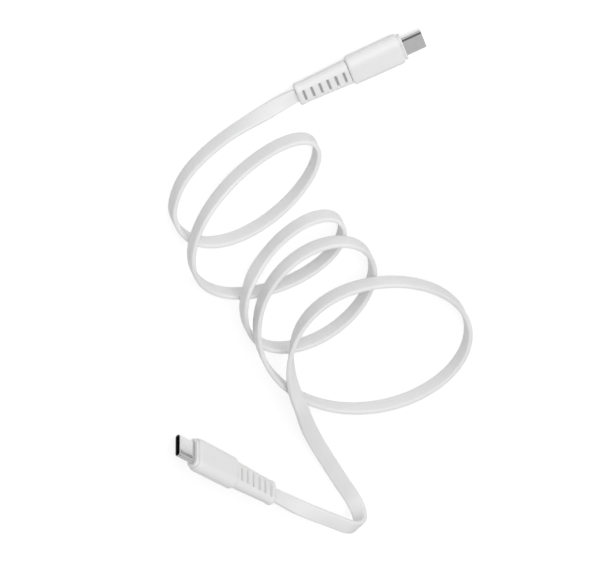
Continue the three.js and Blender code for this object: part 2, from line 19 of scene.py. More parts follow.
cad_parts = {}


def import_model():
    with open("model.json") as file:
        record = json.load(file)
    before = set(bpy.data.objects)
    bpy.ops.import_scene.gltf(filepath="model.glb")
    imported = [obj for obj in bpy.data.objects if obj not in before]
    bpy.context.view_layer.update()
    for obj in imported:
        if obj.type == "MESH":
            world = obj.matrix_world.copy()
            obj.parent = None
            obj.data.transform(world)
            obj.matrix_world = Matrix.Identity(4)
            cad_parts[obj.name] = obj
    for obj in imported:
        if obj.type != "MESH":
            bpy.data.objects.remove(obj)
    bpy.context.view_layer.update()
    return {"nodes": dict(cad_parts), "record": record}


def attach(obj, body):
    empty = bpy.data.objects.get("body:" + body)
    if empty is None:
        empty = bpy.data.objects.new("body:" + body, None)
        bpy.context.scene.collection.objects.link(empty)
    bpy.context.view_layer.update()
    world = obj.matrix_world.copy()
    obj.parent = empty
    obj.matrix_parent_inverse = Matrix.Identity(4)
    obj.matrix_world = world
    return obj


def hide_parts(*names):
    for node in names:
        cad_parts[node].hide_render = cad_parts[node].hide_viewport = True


LOG = logging.getLogger("charging_cable")
MM = 0.001
BODY = "root"
TINY = 1e-9
HALF_TURN_DEGREES = 180
# Most of a noise texture's values lie in this range.
NOISE_RANGE = (0.3, 0.7)
# How far red, green and blue light go in the white plastics, as shares of a finish's glow_depth.
GLOW_SPREAD = (0.9, 0.85, 0.8)

Ring = list[Vector]
Colour = tuple[float, float, float]
Point = tuple[float, float, float]
Row = tuple[Point, Point]
Piece = bpy.types.Object
Material = bpy.types.Material
Socket = bpy.types.NodeSocket


# ---- Small helpers ----


def smoothstep(value: float, low: float, high: float) -> float:
    """Rises smoothly from 0 to 1 as a value goes from low to high."""
    share = min(max((value - low) / (high - low), 0.0), 1.0)
    return share * share * (3 - 2 * share)


def hermite(a: float, b: float, slope_a: float, slope_b: float, f: float) -> float:
    """A cubic from a to b with the given slopes, at the share f of the way."""
    square, cube = -3 * a + 3 * b - 2 * slope_a - slope_b, 2 * a - 2 * b + slope_a + slope_b
    return a + slope_a * f + square * f**2 + cube * f**3


def neighbours(values: Sequence, u: float) -> tuple:
    """The two values before and the two after a place among values at 0, 1, 2 and so on.

    Args:
        values: Numbers or points.
        u: The place.

    Returns:
        The four values, and how far the place is from the second to the third.
    """
    i = min(int(u), len(values) - 2)
    b, c = values[i], values[i + 1]
    a = values[i - 1] if i > 0 else 2 * b - c
    d = values[i + 2] if i + 2 < len(values) else 2 * c - b
    return a, b, c, d, u - i


def even_spline(values: Sequence[float], u: float) -> float:
    """The Catmull-Rom value at a place among evenly spaced values."""
    a, b, c, d, share = neighbours(values, u)
    return hermite(b, c, (c - a) / 2, (d - b) / 2, share)


def centripetal_spline(points: Sequence[Vector], u: float) -> Vector:
    """A centripetal Catmull-Rom point through unevenly spaced points.

    Args:
        points: The points at u = 0, 1, 2 and so on.
        u: Where to read the curve.

    Returns:
        The point there.
    """
    a, b, c, d, share = neighbours(points, u)
    ab, bc, cd = (max((q - p).length, TINY) ** 0.5 for p, q in ((a, b), (b, c), (c, d)))
    slope_b = ((b - a) / ab - (c - a) / (ab + bc) + (c - b) / bc) * bc
    slope_c = ((c - b) / bc - (d - b) / (bc + cd) + (d - c) / cd) * bc
    return Vector([hermite(b[k], c[k], slope_b[k], slope_c[k], share) for k in range(3)])


def lengths_along(points: Sequence[Vector]) -> list[float]:
    """How far along a line each of its points is.

    Args:
        points: The points, in order.

    Returns:
        The distances from the first point, in the points' own unit.
    """
    lengths = [0.0]
    for a, b in zip(points, points[1:]):
        lengths.append(lengths[-1] + (b - a).length)
    return lengths


def stadium(width: float, height: float, ends: int, flat: int) -> list[tuple[float, float]]:
    """The points of a flat-sided outline with full round ends, counter-clockwise.

    Args:
        width: The whole width.
        height: The whole height, which is also the diameter of the ends.
        ends: Steps of each round end.
        flat: Steps of each flat side.

    Returns:
        Pairs across the width and up the height.
    """
    radius = height / 2
    middle = width / 2 - radius
    points = []
    for side in (1, -1):
        for i in range(ends + 1):
            turn = (i / ends - 0.5) * math.pi
            x, y = middle + radius * math.cos(turn), radius * math.sin(turn)
            points.append((side * x, side * y))
        for i in range(1, flat):
            points.append((side * middle * (1 - 2 * i / flat), side * radius))
    return points


def rounded_bar(width: float, height: float, radius: float, steps: int) -> list[tuple[float, float]]:
    """The points of a rectangle with round corners, counter-clockwise.

    Args:
        width: The whole width.
        height: The whole height.
        radius: The radius of the corners.
        steps: Steps of each corner.

    Returns:
        Pairs across the width and up the height.
    """
    points = []
    for quarter, (sx, sy) in enumerate(((1, 1), (-1, 1), (-1, -1), (1, -1))):
        for i in range(steps + 1):
            turn = (quarter + i / steps) * math.pi / 2
            points.append((
                sx * (width / 2 - radius) + radius * math.cos(turn),
                sy * (height / 2 - radius) + radius * math.sin(turn),
            ))
    return points


def placed(name: str, data: bpy.types.ID) -> Piece:
    """Puts a new object with some data into the scene.

    Args:
        name: The object's name.
        data: Its mesh, camera or light.

    Returns:
        The object, at the origin.
    """
    made = bpy.data.objects.new(name, data)
    bpy.context.scene.collection.objects.link(made)
    return made


def skin(name: str, rings: Sequence[Ring], closed: bool) -> Piece:
    """A smooth mesh object through rings of points.

    Args:
        name: The object's name.
        rings: The rings, each with as many points as the others.
        closed: True where the last ring joins the first, as on a sleeve. Otherwise both ends are capped.

    Returns:
        The object, at the origin.
    """
    sides = len(rings[0])
    vertices = [tuple(point) for ring in rings for point in ring]
    faces: list[tuple[int, ...]] = []
    for r in range(len(rings) if closed else len(rings) - 1):
        here, there = r * sides, ((r + 1) % len(rings)) * sides
        for i in range(sides):
            j = (i + 1) % sides
            faces.append((here + i, here + j, there + j, there + i))
    if not closed:
        last = (len(rings) - 1) * sides
        faces.append(tuple(reversed(range(sides))))
        faces.append(tuple(last + i for i in range(sides)))
    mesh = bpy.data.meshes.new(name)
    mesh.from_pydata(vertices, [], faces)
    mesh.shade_smooth()
    return placed(name, mesh)


def sharpen(piece: Piece, degrees: float) -> None:
    """Marks the edges that bend more than an angle as sharp, so that smooth shading stops there."""
    piece.data.set_sharp_from_angle(angle=math.radians(degrees))


def dress(piece: Piece, material: Material) -> None:
    """Makes a material the only one of a piece."""
    piece.data.materials.clear()
    piece.data.materials.append(material)


def settle(piece: Piece) -> None:
    """Turns a piece's modifiers into a plain mesh and removes them.

    Args:
        piece: The piece, which keeps its name.
    """
    graph = bpy.context.evaluated_depsgraph_get()
    mesh = bpy.data.meshes.new_from_object(piece.evaluated_get(graph), depsgraph=graph)
    piece.modifiers.clear()
    old, piece.data = piece.data, mesh
    bpy.data.meshes.remove(old)
    mesh.name = piece.name


# ---- Finishes ----


@dataclass
class Nodes:
    """A node tree, with short ways to add and join its nodes."""

    tree: bpy.types.NodeTree

    def add(self, kind: str, inputs: dict | None = None, **settings: object) -> bpy.types.Node:
        """Adds a node.

        Args:
            kind: The node's type.
            inputs: Values or output sockets for its inputs, by name or number.
            **settings: The node's own settings.

        Returns:
            The node.
        """
        node = self.tree.nodes.new(kind)
        for key, value in settings.items():
            setattr(node, key, value)
        for key, value in (inputs or {}).items():
            self.feed(node.inputs[key], value)
        return node

    def out(self, kind: str, inputs: dict | None = None, **settings: object) -> Socket:
        """Adds a node and gives its first output."""
        return self.add(kind, inputs, **settings).outputs[0]

    def feed(self, socket: Socket, value: object) -> None:
        """Sets a socket, or links it if the value is an output socket.

        Args:
            socket: The input to set or link.
            value: What goes into it.
        """
        if isinstance(value, Socket):
            self.tree.links.new(value, socket)
        else:
            socket.default_value = value

    def math(self, operation: str, *values: object) -> Socket:
        """The result of a Math node."""
        return self.out("ShaderNodeMath", dict(enumerate(values)), operation=operation)


class NodeSheet(Nodes):
    """A new material's node tree, with its Principled shader."""

    def __init__(self, name: str) -> None:
        """Starts the material.

        Args:
            name: The material's name.
        """
        self.material = bpy.data.materials.new(name)
        self.material.use_nodes = True
        super().__init__(self.material.node_tree)
        self.shader = self.tree.nodes["Principled BSDF"]

    def place(self) -> Socket:
        """The piece's own coordinates, in metres."""
        return self.add("ShaderNodeTexCoord").outputs["Object"]

    def noise(self, at: Socket, size: float, detail: float = 3) -> Socket:
        """Soft noise whose blotches have a size in metres."""
        node = self.add("ShaderNodeTexNoise", {"Vector": at, "Scale": 1 / size, "Detail": detail})
        return node.outputs["Fac"]

    def ranged(self, value: Socket, low: float, high: float) -> Socket:
        """Spreads the middle of a noise between two limits."""
        limits = dict(zip(("From Min", "From Max", "To Min", "To Max"), (*NOISE_RANGE, low, high)))
        return self.out("ShaderNodeMapRange", {"Value": value, **limits})

    def blend(self, share: Socket, a: Socket | Colour, b: Socket | Colour) -> Socket:
        """Mixes two colours, or sockets that carry them.

        Args:
            share: How much of the second there is.
            a: The first colour.
            b: The second colour.

        Returns:
            The mixed colour's socket.
        """
        node = self.add("ShaderNodeMix", {"Factor": share}, data_type="RGBA")
        for name, colour in (("A", a), ("B", b)):
            self.feed(node.inputs[name], colour if isinstance(colour, Socket) else (*colour, 1))
        return node.outputs["Result"]

    def bump(self, height: Socket, depth: float, under: Socket | None = None) -> Socket:
        """A bump of a depth in metres, over another if one is given."""
        normal = {"Normal": under} if under else {}
        return self.out("ShaderNodeBump", {"Height": height, "Distance": depth, **normal})

    def mottled(self, share: Socket, colour: Colour, by: float) -> Socket:
        """A colour that is darker by that much where a noise is low."""
        return self.blend(self.ranged(share, 0, 1), tuple(c * (1 - by) for c in colour), colour)

    def set(self, **values: object) -> None:
        """Sets the Principled shader's inputs: an underscore stands for a space."""
        for key, value in values.items():
            self.feed(self.shader.inputs[key.replace("_", " ")], value)


def grey(level: float) -> tuple[float, ...]:
    """A plain grey as a shader's colour."""
    return (level, level, level, 1)


@dataclass(frozen=True)
class Moulded:
    """Moulded plastic: a fine eroded grain, a soft sheen and slight unevenness in colour and gloss."""

    name: str
    colour: Colour
    roughness: float
    grain: float = 0.12 * MM
    grain_depth: float = 0.004 * MM
    wave_depth: float = 0.012 * MM
    mottle: float = 0.018
    mottle_size: float = 6 * MM
    wave_size: float = 3 * MM
    uneven: float = 0.05
    coat: float = 0.0
    coat_roughness: float = 0.25
    glow: float = 0.0
    glow_depth: float = 0.6 * MM
    # Painted shade in the slots: a dark colour, and how sharply it comes in where the attribute sunk is high.
    hollow: Colour | None = None
    hollow_edge: float = 8.0

    def material(self) -> Material:
        """Makes the material.

        Returns:
            The material, with painted shade in the slots: a dark colour blended in where the piece has an
            attribute named sunk.
        """
        sheet = NodeSheet(self.name)
        at = sheet.place()
        fine = sheet.noise(at, self.grain, detail=4)
        wide = sheet.noise(at, self.wave_size, detail=1)
        colour = sheet.mottled(sheet.noise(at, self.mottle_size), self.colour, self.mottle)
        # Painted shade: darkens the slots towards the dark colour where sunk is high.
        if self.hollow is not None:
            sunk = sheet.add("ShaderNodeAttribute", attribute_name="sunk").outputs["Fac"]
            colour = sheet.blend(sheet.math("POWER", sunk, self.hollow_edge), colour, self.hollow)
        rough = sheet.ranged(fine, self.roughness - self.uneven, self.roughness + self.uneven)
        normal = sheet.bump(fine, self.grain_depth, sheet.bump(wide, self.wave_depth))
        sheet.set(Base_Color=colour, Roughness=rough, Normal=normal, IOR=1.5)
        sheet.set(Coat_Weight=self.coat, Coat_Roughness=self.coat_roughness)
        sheet.set(Subsurface_Weight=self.glow, Subsurface_Radius=GLOW_SPREAD,
                  Subsurface_Scale=self.glow_depth)
        return sheet.material


@dataclass(frozen=True)
class Jacket:
    """The cable's extruded jacket: faint drawn lines along it, on the cable's own length and width."""

    name: str
    colour: Colour
    roughness: float
    line_spacing: float = 0.16 * MM
    line_length: float = 14 * MM
    line_depth: float = 0.004 * MM
    grain: float = 0.1 * MM
    grain_depth: float = 0.003 * MM
    mottle: float = 0.02
    mottle_size: float = 9 * MM
    uneven: float = 0.06
    glow: float = 0.1
    glow_depth: float = 0.5 * MM

    def material(self) -> Material:
        """Makes the material.

        Returns:
            The material, which reads the map named along.
        """
        sheet = NodeSheet(self.name)
        along = sheet.out("ShaderNodeUVMap", uv_map="along")
        spread = (1 / self.line_length, 1 / self.line_spacing, 1)
        drawn = sheet.out("ShaderNodeMapping", {"Vector": along, "Scale": spread})
        lines = sheet.noise(drawn, size=1, detail=2)
        at = sheet.place()
        fine = sheet.noise(at, self.grain, detail=4)
        colour = sheet.mottled(sheet.noise(at, self.mottle_size), self.colour, self.mottle)
        rough = sheet.ranged(lines, self.roughness - self.uneven, self.roughness + self.uneven)
        normal = sheet.bump(fine, self.grain_depth, sheet.bump(lines, self.line_depth))
        sheet.set(Base_Color=colour, Roughness=rough, Normal=normal, IOR=1.48)
        sheet.set(Subsurface_Weight=self.glow, Subsurface_Radius=GLOW_SPREAD,
                  Subsurface_Scale=self.glow_depth)
        return sheet.material


class Lay(Enum):
    """The way a metal's rolling lines run, in the piece's own coordinates."""

    LENGTHWISE = (0.05, 1.0, 1.0)
    EVEN = (1.0, 1.0, 1.0)


@dataclass(frozen=True)
class Plated:
    """Rolled or plated metal: fine lines one way, soft blotches in its gloss, and small rubbed spots."""

    name: str
    colour: Colour
    roughness: float
    lay: Lay = Lay.EVEN
    turned: Matrix | None = None
    line: float = 0.06 * MM
    line_depth: float = 0.0012 * MM
    mottle: float = 0.06
    mottle_size: float = 2.5 * MM
    uneven: float = 0.05
    rubbed: float = 0.03

    def material(self) -> Material:
        """Makes the material.

        Returns:
            The material, with its lines along the plug where turned gives the plug's turn.
        """
        sheet = NodeSheet(self.name)
        at = sheet.place()
        if self.turned is not None:
            turn = self.turned.to_3x3().inverted().to_euler()
            at = sheet.out("ShaderNodeMapping", {"Vector": at, "Rotation": turn})
        stretched = sheet.out("ShaderNodeMapping", {"Vector": at, "Scale": self.lay.value})
        lines = sheet.noise(stretched, self.line)
        clouds = sheet.noise(at, self.mottle_size)
        colour = sheet.mottled(clouds, self.colour, self.mottle)
        streaks = sheet.ranged(lines, self.roughness - self.uneven, self.roughness + self.uneven)
        rough = sheet.math("ADD", streaks, sheet.ranged(clouds, -self.rubbed, self.rubbed))
        sheet.set(Base_Color=colour, Metallic=1.0, Roughness=rough, Normal=sheet.bump(lines, self.line_depth))
        return sheet.material


@dataclass(frozen=True)
class Finishes:
    """Every finish of the cable, by the record's material slots."""

    cable: Jacket = Jacket("soft_white_jacket", (0.886, 0.885, 0.886), 0.46)
    housing: Moulded = Moulded("white_housing_plastic", (0.876, 0.875, 0.874), 0.34, coat=0.12, glow=0.06)
    # The relief's slots get painted shade in this dark grey.
    relief: Moulded = Moulded("white_relief_plastic", (0.872, 0.871, 0.87), 0.42, glow=0.1,
                              hollow=(0.42, 0.42, 0.43))
    shell: Plated = Plated("plain_plating", (0.77, 0.77, 0.775), 0.1)
    insulator: Moulded = Moulded("black_insulator", (0.006, 0.006, 0.007), 0.5, mottle=0.1)
    contact: Plated = Plated("gold_contact", (0.83, 0.61, 0.28), 0.24)
    spring: Plated = Plated("spring_steel", (0.52, 0.52, 0.53), 0.32)
    board: Moulded = Moulded("green_board", (0.014, 0.075, 0.04), 0.35, grain=0.3 * MM, mottle=0.25)
    mould: Moulded = Moulded("inner_mould_plastic", (0.68, 0.68, 0.64), 0.55)
    ferrule: Plated = Plated("ferrule_steel", (0.42, 0.42, 0.43), 0.4)
    power_core: Moulded = Moulded("red_core", (0.45, 0.02, 0.015), 0.4)
    ground_core: Moulded = Moulded("black_core", (0.012, 0.012, 0.013), 0.4)
    data_plus_core: Moulded = Moulded("green_core", (0.025, 0.2, 0.05), 0.4)
    data_minus_core: Moulded = Moulded("white_core", (0.78, 0.78, 0.76), 0.4)
    configuration_core: Moulded = Moulded("blue_core", (0.02, 0.09, 0.38), 0.4)

    def materials(self) -> dict[str, Material]:
        """Makes the material of every slot."""
        return {slot.name: getattr(self, slot.name).material() for slot in fields(self)}


# ---- Where the plugs lie ----


@dataclass(frozen=True)
class Placement:
    """How a plug lies on the plane: its place, its heading and its roll about its own axis."""

    at: tuple[float, float]
    heading: float
    roll: float

    def matrix(self, housing: "Size") -> Matrix:
        """The plug's own frame in the model's frame, resting on its housing.

        Args:
            housing: The housing's section.

        Returns:
            The frame, in millimetres.
        """
        turn = math.radians(self.roll)
        rise = housing.height / 2 + (housing.width - housing.height) / 2 * abs(math.sin(turn))
        place = Matrix.Translation((self.at[0], self.at[1], rise))
        heading = Matrix.Rotation(math.radians(self.heading), 4, "Z")
        return place @ heading @ Matrix.Rotation(turn, 4, "X")


FAR_PLUG = Placement((0, 0), 0, 0)
NEAR_PLUG = Placement((-100, -135.8), 119.9, 64)


# ---- The cable ----


@dataclass
class Station:
    """A point on the cable's middle line, with the way its width points there."""

    at: Vector
    across: Vector


@dataclass(frozen=True)
class HalfTurn:
    """Half a turn of the loops: the middle of the loop there, its half length and its half width."""

    x: float
    y: float
    length: float
    width: float


@dataclass(frozen=True)
class Hump:
    """Where the cable passes over itself, in degrees along the loops, and what it clears there."""

    angle: float
    clear: float
    top: float
    ramp: float


@dataclass
class FlatCable:
    """The flat cable from plug to plug: two leads and the loops between them, all in millimetres."""

    width: float = 5.2
    thickness: float = 1.6
    edge: float = 0.55
    edge_steps: int = 4
    ring_step: float = 0.9
    half_turns: tuple[HalfTurn, ...] = (
        HalfTurn(-56, -28, 24.5, 23.5),
        HalfTurn(-56.5, -28.3, 28, 19),
        HalfTurn(-53.4, -50.7, 28.4, 18.4),
        HalfTurn(-54.3, -63.3, 24, 19.2),
        HalfTurn(-49.8, -84.8, 22.5, 18.2),
        HalfTurn(-53, -86.3, 26.5, 23.2),
        HalfTurn(-40.8, -104, 30.4, 30.5),
        HalfTurn(-37.5, -124, 33, 37),
        HalfTurn(-35.5, -142.5, 29, 49),
    )
    tilt: float = 13
    first_angle: float = -200
    loop_step: float = 15
    shared_marks: int = 3
    humps: tuple[Hump, ...] = (
        Hump(139, 0.9, 12, 60),
        Hump(500, 0.9, 6, 40),
        Hump(816, 1.6, 68, 54),
        Hump(1188, 1.8, 64, 56),
    )
    swing: tuple[float, float] = (-0.056, 1)
    lean_from: float = 1175
    lean_to: float = 1255
    lean: float = 65
    far_lead: tuple[Row, ...] = (
        ((-33.3, -0.3, 2.95), (0, -0.94, 0.34)),
        ((-38.9, -1.3, 2.85), (0, -0.6, 0.8)),
        ((-46.0, -2.4, 2.77), (0, -0.2, 0.98)),
        ((-53.6, -3.9, 2.68), (0, 0, 1)),
        ((-62.1, -6.9, 2.63), (0, 0, 1)),
        ((-70.0, -11.3, 2.62), (0, 0, 1)),
        ((-75.7, -16.9, 2.6), (0, 0, 1)),
    )
    near_lead: tuple[Row, ...] = (
        ((-66.3, -136.9, 6.6), (-0.97, 0, 0.25)),
        ((-65.8, -146.4, 4.5), (-1, 0, 0.08)),
        ((-64.7, -157.5, 2.6), (-1, 0, 0)),
        ((-63.6, -166.9, 1.45), (-1, 0, 0)),
        ((-62.5, -175.6, 0.97), (-1, 0, 0)),
    )
    fold_at: Point = (-61.6, -181.3, 0.9)
    fold_radius: float = 5.5
    fold_line: float = 205
    fold_drift: float = 0.32
    fold_steps: int = 6
    back: tuple[Row, ...] = (
        ((-71.2, -178.8, 10.3), (-0.8, -0.6, 0)),
        ((-76.1, -173.9, 8.2), (-0.76, -0.58, 0.25)),
        ((-80.4, -168.9, 6.6), (-0.6, -0.4, 0.7)),
        ((-83.7, -164.1, 5.8), (-0.42, -0.24, 0.88)),
    )
    smoothing: int = 3
    fine: int = 8
    sharp: float = 60

    def rise_at(self, angle: float) -> float:
        """How far the cable rises off the plane, in millimetres, at an angle along the loops."""
        return max((self.width + hump.clear) * smoothstep(hump.top - abs(angle - hump.angle), -hump.ramp, 0)
                   for hump in self.humps)

    def loop_station(self, angle: float) -> Station:
        """The cable at an angle along the loops. Where it rises, it also moves over by its swing.

        Args:
            angle: Degrees along the loops, from first_angle on.

        Returns:
            The station, in millimetres.
        """
        u = (angle - self.first_angle) / HALF_TURN_DEGREES

        def read(key: str) -> float:
            """A value of the half turns there."""
            return even_spline([getattr(row, key) for row in self.half_turns], u)

        tilt, turn = math.radians(self.tilt), math.radians(angle)
        run, side = read("length") * math.cos(turn), read("width") * math.sin(turn)
        rise = self.rise_at(angle)
        at = Vector((
            read("x") + run * math.cos(tilt) - side * math.sin(tilt) + self.swing[0] * rise,
            read("y") + run * math.sin(tilt) + side * math.cos(tilt) + self.swing[1] * rise,
            self.width / 2 + rise,
        ))
        lean = math.radians(self.lean * smoothstep(angle, self.lean_from, self.lean_to))
        return Station(at, Vector((-math.sin(lean), 0, math.cos(lean))))

    def fold(self) -> list[Station]:
        """The half turn of a slow helix where the flat cable goes up and back over itself.

        Returns:
            Its stations, in millimetres.
        """
        line = math.radians(self.fold_line)
        axis = Vector((math.cos(line), math.sin(line), 0))
        out = Vector((-math.sin(line), math.cos(line), 0))
        stations = []
        for i in range(self.fold_steps + 1):
            turn = i / self.fold_steps * math.pi
            at = Vector(self.fold_at) + out * self.fold_radius * math.sin(turn)
            at += axis * self.fold_radius * turn * self.fold_drift
            at.z += self.fold_radius * (1 - math.cos(turn))
            stations.append(Station(at, axis.copy()))
        return stations

    def stations(self, far_exit: Station, near_exit: Station) -> list[Station]:
        """The whole route, from the far plug's strain relief to the near plug's.

        Args:
            far_exit: Where the cable leaves the far plug, in millimetres.
            near_exit: Where it ends at the near plug.

        Returns:
            Stations in metres, one every ring_step or so.
        """
        count = round(HALF_TURN_DEGREES * (len(self.half_turns) - 1) / self.loop_step)
        marks = [self.loop_station(self.first_angle + i * self.loop_step) for i in range(count + 1)]

        def chosen(rows: Iterable[Row]) -> list[Station]:
            """The stations of a lead's rows."""
            return [Station(Vector(at), Vector(across)) for at, across in rows]

        shared = self.shared_marks
        far = [far_exit, *chosen(self.far_lead), *marks[:shared]]
        near = [*marks[-shared:], *chosen(self.near_lead), *self.fold(), *chosen(self.back), near_exit]
        route = self.between(far, 0, len(self.far_lead) + 1)
        route += [self.loop_station(self.first_angle + i * self.loop_step / self.fine)
                  for i in range(1, count * self.fine)]
        route += self.between(near, shared - 1, len(near) - 1)
        return [Station(s.at * MM, s.across) for s in self.evened(route)]

    def between(self, marks: Sequence[Station], start: int, end: int) -> list[Station]:
        """Fine stations on one smooth curve through the marks.

        Args:
            marks: The stations that the curve goes through.
            start: The number of the mark where it begins.
            end: The number of the mark where it ends.

        Returns:
            The stations, in the marks' own unit.
        """
        middles = [mark.at for mark in marks]
        found = []
        for i in range((end - start) * self.fine + 1):
            u = start + i / self.fine
            across = Vector([even_spline([m.across[k] for m in marks], u) for k in range(3)])
            found.append(Station(centripetal_spline(middles, u), across))
        return found

    def evened(self, route: Sequence[Station]) -> list[Station]:
        """The route again, with even steps, and with its small kinks between stretches smoothed out.

        Args:
            route: The stations as they come.

        Returns:
            The even stations.
        """
        lengths = lengths_along([station.at for station in route])
        count = round(lengths[-1] / self.ring_step)
        made, k = [], 0
        for i in range(count + 1):
            at = lengths[-1] * i / count
            while k + 2 < len(lengths) and lengths[k + 1] < at:
                k += 1
            share = (at - lengths[k]) / max(lengths[k + 1] - lengths[k], TINY)
            a, b = route[k], route[k + 1]
            made.append(Station(a.at.lerp(b.at, share), a.across.lerp(b.across, share)))
        for _ in range(self.smoothing):
            inner = [Station((p.at + 2 * q.at + r.at) / 4, (p.across + 2 * q.across + r.across) / 4)
                     for p, q, r in zip(made, made[1:], made[2:])]
            made = [made[0], *inner, made[-1]]
        return made

    def build(self, stations: Sequence[Station]) -> Piece:
        """Makes the cable's mesh, with a map of its length and width.

        Args:
            stations: The route, in metres.

        Returns:
            The cable's object.
        """
        section = rounded_bar(self.width * MM, self.thickness * MM, self.edge * MM, self.edge_steps)
        rings = []
        for i, station in enumerate(stations):
            ahead, behind = stations[min(i + 1, len(stations) - 1)], stations[max(i - 1, 0)]
            run = (ahead.at - behind.at).normalized()
            thick = run.cross(station.across).normalized()
            wide = thick.cross(run)
            rings.append([station.at + wide * w + thick * t for w, t in section])
        made = skin("flat_cable", rings, closed=False)
        sides = len(section)
        around = lengths_along([Vector(point) for point in (*section, section[0])])
        length = lengths_along([station.at for station in stations])
        along = made.data.uv_layers.new(name="along")
        for polygon in made.data.polygons:
            closing = len(polygon.vertices) == 4 and polygon.index % sides == sides - 1
            for loop in polygon.loop_indices:
                ring, side = divmod(made.data.loops[loop].vertex_index, sides)
                whole = closing and side == 0
                along.data[loop].uv = (length[ring], around[sides] if whole else around[side])
        sharpen(made, self.sharp)
        return made


# ---- The plugs ----


@dataclass(frozen=True)
class Size:
    """A section's width and height, in millimetres."""

    width: float
    height: float

    def grown(self, by: float) -> "Size":
        """The section made larger all round, or smaller where by is negative."""
        return Size(self.width + 2 * by, self.height + 2 * by)


@dataclass(frozen=True)
class Edge:
    """How an edge is rounded off: how far along the plug, how far in across it and up it, and in steps."""

    along: float
    across: float
    up: float
    steps: int


def eased(end: float, way: int, size: Size, edge: Edge) -> list[tuple[float, Size]]:
    """Sections of an edge rounded off towards an end.

    Args:
        end: Where the body ends, along the plug.
        way: 1 where the body lies ahead of the end, -1 where it lies behind.
        size: The body's full section.
        edge: How far the rounding reaches.

    Returns:
        Sections from the end into the body.
    """
    sections = []
    for i in range(edge.steps + 1):
        turn = i / edge.steps * math.pi / 2
        inset = 2 * (1 - math.sin(turn))
        x = end + way * edge.along * (1 - math.cos(turn))
        sections.append((x, Size(size.width - edge.across * inset, size.height - edge.up * inset)))
    return sections


def tapered(start: float, end: float, first: Size, last: Size, steps: int) -> list[tuple[float, Size]]:
    """Sections of a body that goes evenly from one size to another, its two ends left out.

    Args:
        start: Where the body starts, along the plug.
        end: Where it ends.
        first: Its section at the start.
        last: Its section at the end.
        steps: How many steps it takes.

    Returns:
        The sections between.
    """
    sections = []
    for share in (i / steps for i in range(1, steps)):
        width = first.width + (last.width - first.width) * share
        height = first.height + (last.height - first.height) * share
        sections.append((start + (end - start) * share, Size(width, height)))
    return sections


@dataclass
class PlugSizes:
    """The sizes that the pieces of a plug share, in millimetres."""

    shell: Size = Size(8.25, 2.4)
    wall: float = 0.25
    exposed: float = 6.9
    hidden: float = 6.0
    housing: Size = Size(12, 6)
    housing_rear: Size = Size(11.6, 6)
    housing_length: float = 19.5
    collar: Size = Size(10.6, 4.7)
    collar_length: float = 0.7
    groove: Size = Size(10.0, 4.1)
    groove_length: float = 0.5
    relief: Size = Size(9.8, 4.8)
    relief_rear: Size = Size(8.5, 4.2)
    relief_length: float = 18.5
    flare: float = 0.35
    flare_length: float = 1.6
    mould: Size = Size(10.2, 4.3)
    mould_length: float = 12.2
    ferrule: Size = Size(6.1, 2.5)
    ferrule_length: float = 3.0
    ferrule_in_housing: float = 0.6
    cable: Size = Size(5.2, 1.6)
    fit: float = 0.1
    joint: float = 0.15

    @property
    def front(self) -> float:
        """The housing's front end."""
        return self.housing_length / 2

    @property
    def rear(self) -> float:
        """The housing's rear end."""
        return -self.housing_length / 2

    @property
    def mouth(self) -> float:
        """The shell's open end."""
        return self.front + self.exposed

    @property
    def shell_rear(self) -> float:
        """The shell's hidden end."""
        return self.front - self.hidden

    @property
    def relief_front(self) -> float:
        """Where the strain relief meets the housing."""
        return self.rear - self.joint

    @property
    def relief_end(self) -> float:
        """The strain relief's free end, where the cable comes out."""
        return self.relief_front - self.relief_length


@dataclass
class Sleeve:
    """A tubular piece of a plug, lofted from rings of its outside and then of its bore.

    A ring has as many steps in each round end as ends says, and in each flat side as flat says.
    """

    name: str
    ends: int
    flat: int
    rings: list[Ring] = field(default_factory=list)

    def ring(self, x: float, size: Size) -> None:
        """Adds a ring at x with that section."""
        outline = stadium(size.width, size.height, self.ends, self.flat)
        self.rings.append([Vector((x, y, z)) * MM for y, z in outline])

    def run(self, sections: Iterable[tuple[float, Size]]) -> None:
        """Adds rings at each section in turn."""
        for x, size in sections:
            self.ring(x, size)

    def build(self) -> Piece:
        """Joins the rings into one closed sleeve."""
        return skin(self.name, self.rings, closed=True)


